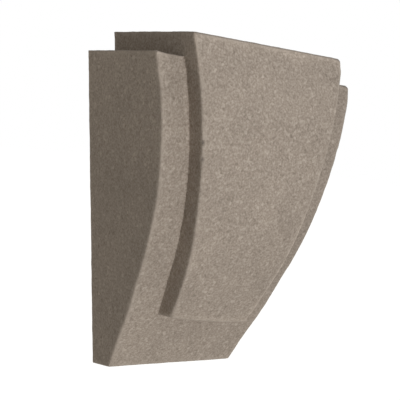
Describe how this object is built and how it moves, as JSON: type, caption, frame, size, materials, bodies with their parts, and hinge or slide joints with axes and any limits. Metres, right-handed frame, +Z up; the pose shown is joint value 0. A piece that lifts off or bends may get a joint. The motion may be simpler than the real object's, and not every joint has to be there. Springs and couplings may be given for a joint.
{
  "type": "stone corbel",
  "caption": "Cast-stone corbel: a wedge tapering downward with a swept front, level shoulders and a raised block on its face that rises above them; flat back against a wall.",
  "frame": {"origin": "centre of the flat back, on the wall plane, half way up the back and half way across it", "axes": "+Z up along the back, +Y into the wall (the back's outward normal), so the front faces -Y; +X across the width, about which the piece is symmetrical left and right"},
  "size_m": [0.235, 0.1381, 0.325],
  "materials": {
    "cast_stone": "matt, fine sanded grain"
  },
  "bodies": {
    "root": {"corbel": "cast_stone"}
  },
  "joints": []
}
